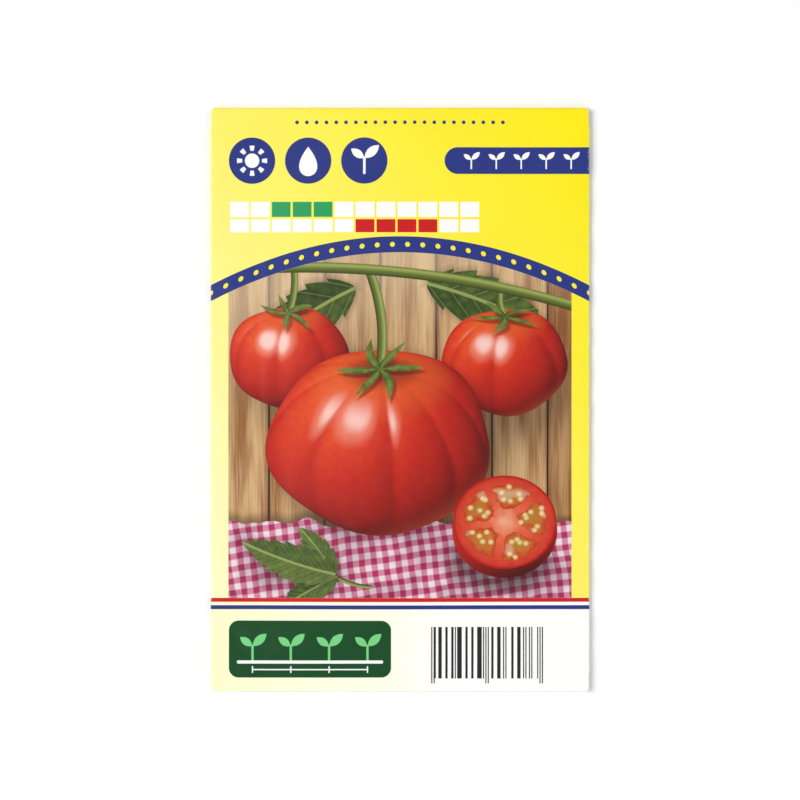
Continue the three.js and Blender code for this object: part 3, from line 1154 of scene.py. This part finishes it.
def chamber(inks, across, up):
    """Depth inside the nearest chamber: between two spokes, and between the core and the wall."""
    out = inks.length(across, up)
    step = inks.part(inks.bearing(up, across) * (CHAMBERS / (2 * math.pi)) + (CHAMBER_TURN + 10))
    from_spoke = (0.5 - abs(step - 0.5)) * out * (2 * math.pi / CHAMBERS)
    return inks.math("SMOOTH_MIN", from_spoke - 0.075, 0.27 - abs(out - 0.53), 0.12)


print(f"{CHAMBERS} chambers, {360 / CHAMBERS:.0f} degrees each")


# %% Scatter the pips
PIP = [(0.0, ink(246, 226, 168)), (0.28, ink(206, 164, 92))]
PIPS_ACROSS = 5.2


def pips(inks, u, v):
    """How much of a point a pip covers, and the pip's colour."""
    sockets = {"Vector": inks.vector(u * PIPS_ACROSS, v * PIPS_ACROSS), "Scale": 1.0}
    cells = inks.make("ShaderNodeTexVoronoi", {"voronoi_dimensions": "2D"}, sockets).node
    middle = [place / PIPS_ACROSS for place in inks.split(cells.outputs["Position"])[:2]]
    from_middle = Field(inks, cells.outputs["Distance"])
    shape = inks.cover(0.3 - from_middle, 0.05) * (chamber(inks, *middle) > 0.035)
    return shape, inks.ramp(from_middle, PIP)


print(f"about {PIPS_ACROSS * 2:.0f} cells from rim to rim")

# %% Paint the cut half
CUT_SQUASH = 0.9
CUT_SKIN = [(0.0, ink(76, 8, 6)), (0.4, ink(168, 24, 16)), (1.0, ink(206, 60, 36))]
FLESH = [
    (0.0, ink(238, 168, 134)), (0.3, ink(226, 104, 70)), (0.75, ink(214, 70, 44)), (1.0, ink(196, 44, 28)),
]
JELLY = [(0.0, ink(186, 60, 26)), (0.45, ink(198, 104, 38)), (1.0, ink(168, 128, 46))]


@layer
def cut_half(inks, ground, x, y, grain, centre, radius):
    """A halved tomato with its cut face towards us, and a strip of its outside below the cut."""
    u = (x - centre[0]) / radius
    below = (y - centre[1] + radius * 0.16) / (radius * CUT_SQUASH)
    skin = inks.ramp(below * 0.5 + 0.5 - u * 0.18, CUT_SKIN)
    ground = inks.mix(inks.cover((1.0 - inks.length(u, below)) * radius, 0.07), ground, skin)

    v = (y - centre[1]) / (radius * CUT_SQUASH)
    reach = inks.length(u, v)
    ground = inks.mix(inks.cover((0.985 - reach) * radius, 0.06), ground, ink(176, 26, 16))
    flesh = inks.ramp(reach + (grain - 0.5) * 0.25, FLESH)
    ground = inks.mix(inks.cover((0.945 - reach) * radius, 0.12), ground, flesh)

    depth = chamber(inks, u, v) + (grain - 0.5) * 0.12
    jelly = inks.ramp(depth * 4 + (grain - 0.5) * 0.6, JELLY)
    ground = inks.mix(inks.cover(depth * radius, 0.1), ground, jelly)
    shape, pip = pips(inks, u, v)
    ground = inks.mix(shape * 0.92, ground, pip)
    sheen = inks.noise(inks.vector(u * 2.6 + 3.0, v * 2.6), 1.0, 0.0)
    wet = inks.ease(sheen, 0.58, 0.74) * inks.cover((depth - 0.03) * radius, 0.3)
    return inks.mix(wet * 0.26, ground, ink(255, 232, 206))


# %% [markdown]
# Cloth and planks
#
# Gingham is a plain weave of white and coloured threads in equal bands. Where two coloured bands cross,
# the colour is full, where one crosses white it is half, and the sum of the two bands says which. Planks
# are strips of wood, each moved along its own grain so that no two are alike.

# %% Weave the cloth
GINGHAM = [(0.0, ink(238, 226, 231)), (0.5, ink(214, 132, 160)), (1.0, ink(172, 40, 88))]
CHECK = 2.7
CHECK_TURN = math.radians(8)


@layer
def gingham(inks, x, y, cloud):
    """The cloth's colour: two sets of bands, added, with fine threads and the folds' light over them."""
    run_x = (x * math.cos(CHECK_TURN) + y * math.sin(CHECK_TURN)) / CHECK
    run_y = (y * math.cos(CHECK_TURN) - x * math.sin(CHECK_TURN)) / CHECK
    wave = (cloud - 0.5) * 0.35
    bands = [inks.cover(abs(inks.part(run + wave) - 0.5) - 0.25, 0.05) for run in (run_x, run_y)]
    thread = inks.sine(run_x * 50) * inks.sine(run_y * 50) * 0.07
    cloth = inks.ramp((bands[0] + bands[1]) * 0.5 + thread, GINGHAM)
    return inks.shade(inks.ease(cloud, 0.62, 0.36) * 0.45, cloth, ink(168, 140, 158))


# %% Saw the planks
PLANK = 12.5


def timber(inks, along, across, light, dark):
    """Wood: noise drawn out along the grain, as soft bands and fine dark fibres."""
    broad = inks.noise(inks.vector(along * 0.02, across * 0.16), 1.6, 2.0)
    fine = inks.noise(inks.vector(along * 0.05, across * 1.5), 1.8, 2.0)
    return inks.mix(inks.ease(broad * 0.75 + fine * 0.35, 0.34, 0.78), light, dark)


@layer
def planks(inks, x, y):
    """An upright plank wall: the plank's number gives its tone, and thin dark lines part the planks."""
    column = x / PLANK + 0.35
    number = inks.math("FLOOR", column)
    own = inks.chance(number + 0.3)
    gap = (0.5 - abs(inks.part(column) - 0.5)) * PLANK
    wood = timber(inks, y + own * 90, -(x + number * 31.7), ink(214, 176, 126), ink(150, 98, 54))
    wood = inks.shade(own * 0.5, wood, ink(206, 178, 150))
    wood = inks.mix(inks.ease(gap, 1.0, 0.25) * 0.45, wood, ink(116, 70, 36))
    return inks.mix(inks.cover(0.22 - gap), wood, ink(52, 30, 16))


# %% [markdown]
# The still life in the window
#
# Ripe fruit hangs from a vine before a plank wall, and a cut half lies on a gingham cloth below. It is
# painted from the back to the front, each thing over the last, with a soft shadow before each. Each
# thing's place and form is a short list of named values, so it can be moved without touching a painter.

# %% Paint the wall and the cloth
CLOTH_EDGE = -27.5
SUNLIT = ink(255, 240, 205)
WALL_SHADOWS = [
    dict(centre=(-21.0, 3.5), half_width=19, half_height=17, strength=0.55, inner=0.3),
    dict(centre=(27.5, 1.5), half_width=19, half_height=18, strength=0.55, inner=0.3),
    dict(centre=(1.0, -13.5), half_width=31, half_height=27, strength=0.65, inner=0.35),
]


@layer
def backdrop(inks, x, y, cloud):
    """The plank wall in slanting light, the fruits' shadows on it, and the cloth with its wavy edge."""
    art = planks(inks, x, y)
    art = inks.mix(inks.ease(y - x * 0.3, 4, 36) * 0.28, art, SUNLIT)
    for oval in WALL_SHADOWS:
        art = soft_shadow(inks, art, x, y, **oval)
    edge = CLOTH_EDGE + (cloud - 0.5) * 5
    art = inks.mix(inks.ease(y - edge, 3.2, 0.0) * 0.6, art, ink(48, 26, 14))
    return inks.mix(inks.cover(edge - y, 0.08), art, gingham(inks, x, y, cloud))


# %% [markdown]
# What hangs
#
# A fruit comes with the stalk it hangs by and a crown over both, so one function paints the three. The
# front fruit throws a shadow on the two behind it, and the vine runs across the top of them all.

# %% Hang a fruit
def hung_fruit(inks, art, x, y, grain, fruit, stalk, star):
    """A fruit, its stalk and its crown, each given by its named values."""
    art = tomato(inks, art, x, y, grain, **fruit)
    art = vine(inks, art, x, y, **stalk)
    return crown(inks, art, x, y, grain, **star)


LEFT_HUNG = [
    dict(centre=(-25, 9.5), radius=13.4, squash=0.86, tilt=0.42, ribs=6, turn=0.2, lean=0.55),
    dict(start=(-24.0, 31.0), end=(-25, 19.2), sag=0.8, half_width=0.8),
    dict(centre=(-25, 19.4), size=7.5, flat=0.62, sepals=5, turn=0.5),
]
RIGHT_HUNG = [
    dict(centre=(23.5, 8.5), radius=14.2, squash=0.84, tilt=0.5, ribs=7, turn=1.1, lean=0.55),
    dict(start=(22.6, 25.0), end=(23.5, 18.4), sag=-0.7, half_width=0.8),
    dict(centre=(23.5, 18.5), size=8.0, flat=0.6, sepals=5, turn=1.6),
]
FRONT_HUNG = [
    dict(centre=(-4.5, -9.5), radius=25.0, squash=0.83, tilt=0.66, ribs=9, turn=2.0, lean=0.7),
    dict(start=(-7.0, 29.2), end=(-4.6, 6.6), sag=1.6, half_width=1.1),
    dict(centre=(-4.5, 6.8), size=12.5, flat=0.58, sepals=6, turn=0.9),
]
print(f"the front fruit is {FRONT_HUNG[0]['radius'] * 2} mm wide")

# %% Paint what hangs
FRONT_SHADOW = dict(centre=(-4.0, -10.5), half_width=28, half_height=24, strength=0.6, inner=0.75)
MAIN_VINE = dict(start=(-39, 29), end=(39, 21), sag=3.5, half_width=1.2)
VINE_LEAVES = [
    dict(base=(-10, 25), angle=205, length=30, half_width=8.5, bend=0.16, teeth=6, bright=-0.16),
    dict(base=(6, 26), angle=-14, length=31, half_width=8.5, bend=-0.14, teeth=6, bright=-0.12),
]


@layer
def hanging_fruit(inks, art, x, y, grain):
    """Two leaves, the fruit on the left and on the right, the front one over them, and the vine."""
    for form in VINE_LEAVES:
        art = leaf(inks, art, x, y, grain, **form)
    art = hung_fruit(inks, art, x, y, grain, *LEFT_HUNG)
    art = hung_fruit(inks, art, x, y, grain, *RIGHT_HUNG)
    art = soft_shadow(inks, art, x, y, **FRONT_SHADOW)
    art = hung_fruit(inks, art, x, y, grain, *FRONT_HUNG)
    return vine(inks, art, x, y, **MAIN_VINE)


# %% Paint what lies on the cloth
CUT_SHADOW = dict(centre=(22.5, -36.5), half_width=16, half_height=9.5, strength=0.75, inner=0.5)
SPRIG_SHADOW = dict(centre=(-22.0, -38.5), half_width=17, half_height=6.5, strength=0.5, inner=0.2)
SPRIG_STEM = dict(start=(-6.5, -42.0), end=(-15.5, -38.9), sag=0.7, half_width=0.45)
SPRIG_LEAVES = [
    dict(base=(-14.0, -39.6), angle=205, length=15, half_width=4.6, bend=0.08, teeth=5, bright=-0.06),
    dict(base=(-14.6, -39.0), angle=122, length=13, half_width=4.2, bend=0.10, teeth=5, bright=0.10),
    dict(base=(-14.4, -39.2), angle=168, length=22, half_width=6.2, bend=-0.12, teeth=7, bright=0.03),
]


@layer
def on_the_cloth(inks, art, x, y, grain):
    """The cut half and a sprig of three leaves, each with its shadow."""
    art = soft_shadow(inks, art, x, y, **CUT_SHADOW)
    art = cut_half(inks, art, x, y, grain, centre=(23.5, -27.5), radius=11.8)
    art = soft_shadow(inks, art, x, y, **SPRIG_SHADOW)
    art = vine(inks, art, x, y, **SPRIG_STEM)
    for form in SPRIG_LEAVES:
        art = leaf(inks, art, x, y, grain, **form)
    return art


# %% Paint the whole picture
@layer
def still_life(inks, x, y):
    """The window's picture, from the back to the front. Slow noise waves the cloth and fine noise mottles
    the fruit and the leaves."""
    place = inks.vector(x, y)
    cloud = inks.noise(place, 0.11, 2.0)
    grain = inks.noise(place, 0.55, 3.0)
    art = backdrop(inks, x, y, cloud)
    art = hanging_fruit(inks, art, x, y, grain)
    return on_the_cloth(inks, art, x, y, grain)


# %% [markdown]
# The front panel
#
# A yellow ground that pales towards the left and the foot, then the signs, the calendar, the window with
# its ribbon, and the foot. The ground and the ribbon run on round the folds, as they would on a real
# packet, because the print follows the blank.

# %% Lay the yellow ground
YELLOW_GROUND = [
    (0.0, ink(255, 237, 4)), (0.22, ink(255, 240, 57)), (0.42, ink(255, 242, 102)),
    (0.61, ink(255, 244, 144)), (0.84, ink(254, 249, 193)), (1.0, ink(255, 252, 222)),
]
BRIGHT_CORNER = (35.8, 63.0)


@layer
def yellow_ground(inks, x, y):
    """The ground: full yellow at the top right, paler the further left and down."""
    return inks.ramp((BRIGHT_CORNER[0] - x) * 0.0056 + (BRIGHT_CORNER[1] - y) * 0.0041, YELLOW_GROUND)


# %% Print the head
SIGN_ROW = 53.6
SIGN_STEP = 12.6
FIRST_SIGN = -33.2
HEAD_SIGNS = [(sun_sign, 3.6, 0), (drop_sign, 3.1, -0.4), (seedling_sign, 3.9, 0.9)]
DOT_STEP = 2.2
PILL_LEFT = 13.2
PILL_STEP = 5.6
PILL_SPROUTS = 5
FRONT_SEASONS = [(2, 5, LEAF_GREEN), (6, 10, RED)]
FRONT_CALENDAR = dict(left=-38.4, top=44.6, pitch=4.7, height=3.4, seasons=FRONT_SEASONS, empty=WHITE)


@layer
def head_print(inks, x, y):
    """The head: a row of dots, three round signs, a pill with five seedlings, and the calendar."""
    art = yellow_ground(inks, x, y)
    dots = 0.42 - inks.length((inks.part(x / DOT_STEP) - 0.5) * DOT_STEP, y - 62.2)
    art = inks.mix(inks.cover(dots) * (abs(x) < 24.2), art, BLUE)

    for number, (sign, size, low) in enumerate(HEAD_SIGNS):
        middle = FIRST_SIGN + SIGN_STEP * number
        art = inks.mix(inks.cover(disc(inks, x, y, (middle, SIGN_ROW), 5.2)), art, BLUE)
        art = inks.mix(sign(inks, x, y, (middle, SIGN_ROW + low), size), art, WHITE)

    pill = block(inks, x, y, (34, SIGN_ROW), half_width=24, half_height=3.0, corner=3.0)
    art = inks.mix(inks.cover(pill), art, BLUE)
    row = (inks.part((x - PILL_LEFT) / PILL_STEP) - 0.5) * PILL_STEP
    in_pill = (x > PILL_LEFT) * (x < PILL_LEFT + PILL_STEP * PILL_SPROUTS)
    art = inks.mix(seedling_sign(inks, row, y - 0.4, (0, SIGN_ROW), 2.3) * in_pill, art, WHITE)
    return calendar(inks, art, x, y, **FRONT_CALENDAR)


# %% Print the window
WINDOW_HALF = 38.5
WINDOW_TOP = 33.0
WINDOW_DROP = 9.0
RIBBON = 3.6
BEAD_STEP = 3.4


@layer
def window_print(inks, x, y):
    """The arched window with its still life, and the beaded ribbon that follows the arch. The arch is a
    parabola that drops by WINDOW_DROP at the window's sides."""
    below_arch = WINDOW_TOP - x * x * (WINDOW_DROP / WINDOW_HALF**2) - y
    window = inks.smaller(WINDOW_HALF - abs(x), below_arch)
    art = inks.mix(inks.cover(window), yellow_ground(inks, x, y), still_life(inks, x, y))
    aside = below_arch + RIBBON / 2
    art = inks.mix(inks.cover(RIBBON / 2 - abs(aside)), art, BLUE)
    beads = inks.length((inks.part(x / BEAD_STEP) - 0.5) * BEAD_STEP, aside)
    return inks.mix(inks.cover(0.55 - beads), art, ink(255, 238, 60))


# %% Print the foot
FOOT_GROUND = [(0.0, ink(255, 251, 203)), (0.45, ink(255, 252, 233)), (0.62, ink(255, 255, 251))]
RULE_HALF = 0.45


@layer
def foot_print(inks, x, y):
    """The foot: two rules, the bars, and the planting distance."""
    art = inks.ramp(x / WIDTH + 0.5, FOOT_GROUND)
    art = inks.mix(inks.cover(RULE_HALF - abs(y - (FOOT_TOP - RULE_HALF))), art, RED)
    art = inks.mix(inks.cover(RULE_HALF - abs(y - (FOOT_TOP - 2.1))), art, BLUE)
    art = inks.mix(bars(inks, x, y, left=7.0, low=-62.6, height=11.6), art, CHARCOAL)
    return spacing_sign(inks, art, x, y, centre=(-20.2, -56.0))


# %% [markdown]
# The back panel
#
# The back carries growing notes on a real packet. Here it has the calendar again, four round signs, plain
# grey rules where the notes would be, an empty box for a date stamp, and the sowing depth. A rule's
# length is drawn by chance from the number of its line, so the notes look like text set ragged.

# %% Rule the growing notes
LINE = 2.6
NOTE_COLUMN = 37.5
NOTE_START = -37.0
LONGEST_RULE = 33.5


@layer
def note_rules(inks, x, y):
    """Two columns of rules: each is as long as the longest, less up to 15 mm drawn by its line."""
    line = y / LINE
    own = inks.chance(inks.math("FLOOR", line) + inks.math("FLOOR", x / NOTE_COLUMN + 0.5) * 40)
    height = abs(inks.part(line) - 0.5)
    along = inks.part((x - NOTE_START) / NOTE_COLUMN) * NOTE_COLUMN
    rule = inks.cover((0.17 - height) * LINE) * (along < LONGEST_RULE - own * own * 15)
    return rule * inks.cover(block(inks, x, y, (0, 42.9), 37.0, 14.3))


# %% Print the back
BACK_SIGN_ROW = 69.5
BACK_SIGNS = [
    (-28.5, sun_sign, 4.6, 0), (-9.5, drop_sign, 4.0, -0.5),
    (9.5, seedling_sign, 4.6, 1.2), (28.5, seedling_sign, 3.2, 1.4),
]
BACK_SEASONS = [(2, 4, LEAF_GREEN), (4, 6, BLUE), (6, 10, RED)]
PALE_CELL = ink(226, 230, 222)
BACK_CALENDAR = dict(left=-36.6, top=96.6, pitch=6.1, height=4.2, seasons=BACK_SEASONS, empty=PALE_CELL)
BACK_GROUND = [(0.0, ink(255, 254, 246)), (1.0, ink(255, 248, 196))]
NOTE_GREY = ink(96, 96, 100)
STAMP_GREY = ink(80, 80, 84)


@layer
def back_print(inks, x, y):
    """The back design. x runs right and y up as seen from behind, both from the panel's bottom middle."""
    art = inks.ramp(inks.ease(y, 10, 120), BACK_GROUND)
    art = inks.mix(inks.cover(y - 101.5), art, YELLOW)
    art = inks.mix(inks.cover(0.5 - abs(y - 100.6)), art, BLUE)
    art = calendar(inks, art, x, y, **BACK_CALENDAR)
    for middle, sign, size, low in BACK_SIGNS:
        art = inks.mix(inks.cover(disc(inks, x, y, (middle, BACK_SIGN_ROW), 6.9)), art, DARK_GREEN)
        art = inks.mix(sign(inks, x, y, (middle, BACK_SIGN_ROW + low), size), art, WHITE)

    art = inks.mix(note_rules(inks, x, y) * 0.6, art, NOTE_GREY)
    stamp_box = block(inks, x, y, (-22.0, 14.0), half_width=15.0, half_height=8.0, corner=0.8)
    art = inks.mix(inks.cover(0.18 - abs(stamp_box)), art, STAMP_GREY)
    foot_band = block(inks, x, y, (0, 2.4), half_width=60, half_height=1.6)
    art = inks.mix(inks.cover(foot_band), art, YELLOW)
    return depth_sign(inks, art, x, y, centre=(27.0, 14.0))


# %% [markdown]
# The printed paper
#
# Coated paper is smooth but not a mirror: it has fine fibre under the coat. Where it is folded or rubbed,
# the ink is worn off and white fibre shows. The wear is clouds of noise, kept to the folds. Each zone of
# the page is a finish of its own, and so is the bare inside, so no point of the sheet works out a picture
# that it doesn't show.

# %% Coat the paper
FIBRE_DEPTH = 0.00005


def coated(inks, across, along, art):
    """Ends a printed finish: wear at the folds laid on the art, then the coat's gloss and fibre."""
    place = inks.vector(across, along)
    fibre = inks.noise(place, 3.2, 3.0)
    blotch = inks.noise(place, 0.35, 1.0)
    side_fold = FRONT_SIDE + side_crease.arc / 2 - abs(across)
    top_fold = FRONT_TOP_EDGE + top_crease.arc / 2 - along
    bottom_fold = along - (FRONT_BOTTOM - bottom_crease.arc / 2)
    near_fold = inks.smaller(abs(side_fold), inks.smaller(abs(top_fold), abs(bottom_fold)))
    worn = inks.ease(near_fold + (fibre - 0.5) * 2.0 + (blotch - 0.5) * 1.6, 0.14, -0.34)
    art = inks.mix(worn * 0.35, art, ink(248, 246, 238))
    roughness = 0.42 + (fibre - 0.5) * 0.10 + (blotch - 0.5) * 0.08 + worn * 0.2
    gloss = {"Specular IOR Level": 0.4, "Coat Weight": 0.1, "Coat Roughness": 0.3}
    inks.finish(art, roughness, inks.bump(fibre, 0.05, FIBRE_DEPTH), **gloss)


def bare_paper(inks):
    """The uncoated inside and the cut edges: white, with fibre."""
    fibre = inks.noise(inks.vector(*inks.on_blank()), 2.4, 3.0)
    white = inks.mix(fibre, ink(236, 234, 226), ink(250, 249, 244))
    inks.finish(white, 0.66 + (fibre - 0.5) * 0.2, inks.bump(fibre, 0.2, FIBRE_DEPTH))


# %% Make up the pages
def back_page(inks, across, along):
    """The back panel's print, turned about the bottom fold so that it reads upright from behind."""
    return back_print(inks, across * -1, back_start - along)


def coated_page(name, page):
    """A printed zone's finish, drawn by page(inks, across, along)."""
    def paint(inks):
        across, along = inks.on_blank()
        coated(inks, across, along, page(inks, across, along))
    return material_of(name, paint)


give(
    packet,
    coated_page("printed_back", back_page),
    coated_page("printed_foot", foot_print),
    coated_page("printed_window", window_print),
    coated_page("printed_head", head_print),
    material_of("bare_paper", bare_paper),
)

# %% Put the packet in the frame
packet.data.polygons.foreach_set("material_index", packet_finish)
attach(packet, "root")
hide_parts("paper_packet")
print(f"{packet.name}: {np.bincount(packet_finish)} quads of back, foot, window, head and bare paper")


# %% [markdown]
# Paste, foil and seeds
#
# These lie inside the closed packet and aren't seen, but they are real parts, and each gets its own
# finish: clear brownish paste, rolled foil with faint lines, and seeds with a fine pale down. Their
# shapes stay as they are, so their patterns follow the objects' own coordinates.

# %% Mix the paste
def plain(name, colour, roughness, mottle=0.06, scale=900.0):
    """A one-colour finish, a little uneven."""
    lighter = tuple(min(1, channel * 1.12) for channel in colour[:3]) + (1,)

    def paint(inks):
        cloud = inks.noise(inks.make("ShaderNodeTexCoord", out="Object"), scale, axes="3D")
        inks.finish(inks.mix(cloud, colour, lighter), roughness + (cloud - 0.5) * mottle)
    return material_of(name, paint)


dried_paste = plain("dried_paste", ink(206, 190, 150), 0.35)


# %% Roll the foil
def foil_finish(inks):
    """Rolled aluminium foil: bright, with faint rolling lines along one axis and small crumples."""
    spot = inks.make("ShaderNodeTexCoord", out="Object")
    x, y, _ = inks.split(spot)
    lines = inks.noise(inks.vector(x * 40, y * 9000), 1.0, 2.0)
    crumple = inks.noise(spot, 160.0, 3.0, "3D")
    base = inks.mix(lines, ink(196, 197, 200), ink(226, 226, 228))
    inks.finish(base, 0.22 + lines * 0.14, inks.bump(crumple, 0.4, 0.0002), Metallic=1.0)


rolled_foil = material_of("rolled_foil", foil_finish)


# %% Cover the seeds with down
def seed_coat(inks):
    """Tomato seed: flat, buff-coloured, with a short silky down that makes it look matt and pale."""
    spot = inks.make("ShaderNodeTexCoord", out="Object")
    patch = inks.noise(spot, 900.0, 2.0, "3D")
    down = inks.noise(spot, 9000.0, 3.0, "3D")
    coat = inks.ramp(patch * 0.7 + down * 0.3, [(0.3, ink(188, 152, 100)), (0.7, ink(228, 204, 160))])
    inks.finish(coat, 0.7 + (down - 0.5) * 0.2, inks.bump(down, 0.5, 0.0001))


downy_seed = material_of("downy_seed", seed_coat)

# %% Finish what lies inside
finishes = {"glue": dried_paste, "sachet": rolled_foil, "seed": downy_seed}
for name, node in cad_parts.items():
    for start, finish in finishes.items():
        if name.startswith(start):
            give(node, finish)
print(f"{len(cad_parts) - 1} inner pieces finished")

# %% [markdown]
# The floor
#
# A plain, pale, matt sheet under the packet. It belongs to the photographer, not to the object.

# %% Roll out the floor
FLOOR_HALF = 1.5
FLOOR_LEVEL = -0.00002
floor_mesh = bpy.data.meshes.new("studio_floor")
corners = [(x * FLOOR_HALF, y * FLOOR_HALF, FLOOR_LEVEL) for x, y in ((-1, -1), (1, -1), (1, 1), (-1, 1))]
floor_mesh.from_pydata(corners, [], [(0, 1, 2, 3)])
floor = place_in_scene("studio_floor", floor_mesh)
give(floor, plain("pale_floor", ink(255, 255, 255), 0.9, mottle=0.02, scale=40.0))
print(f"floor {FLOOR_HALF * 2} m wide")
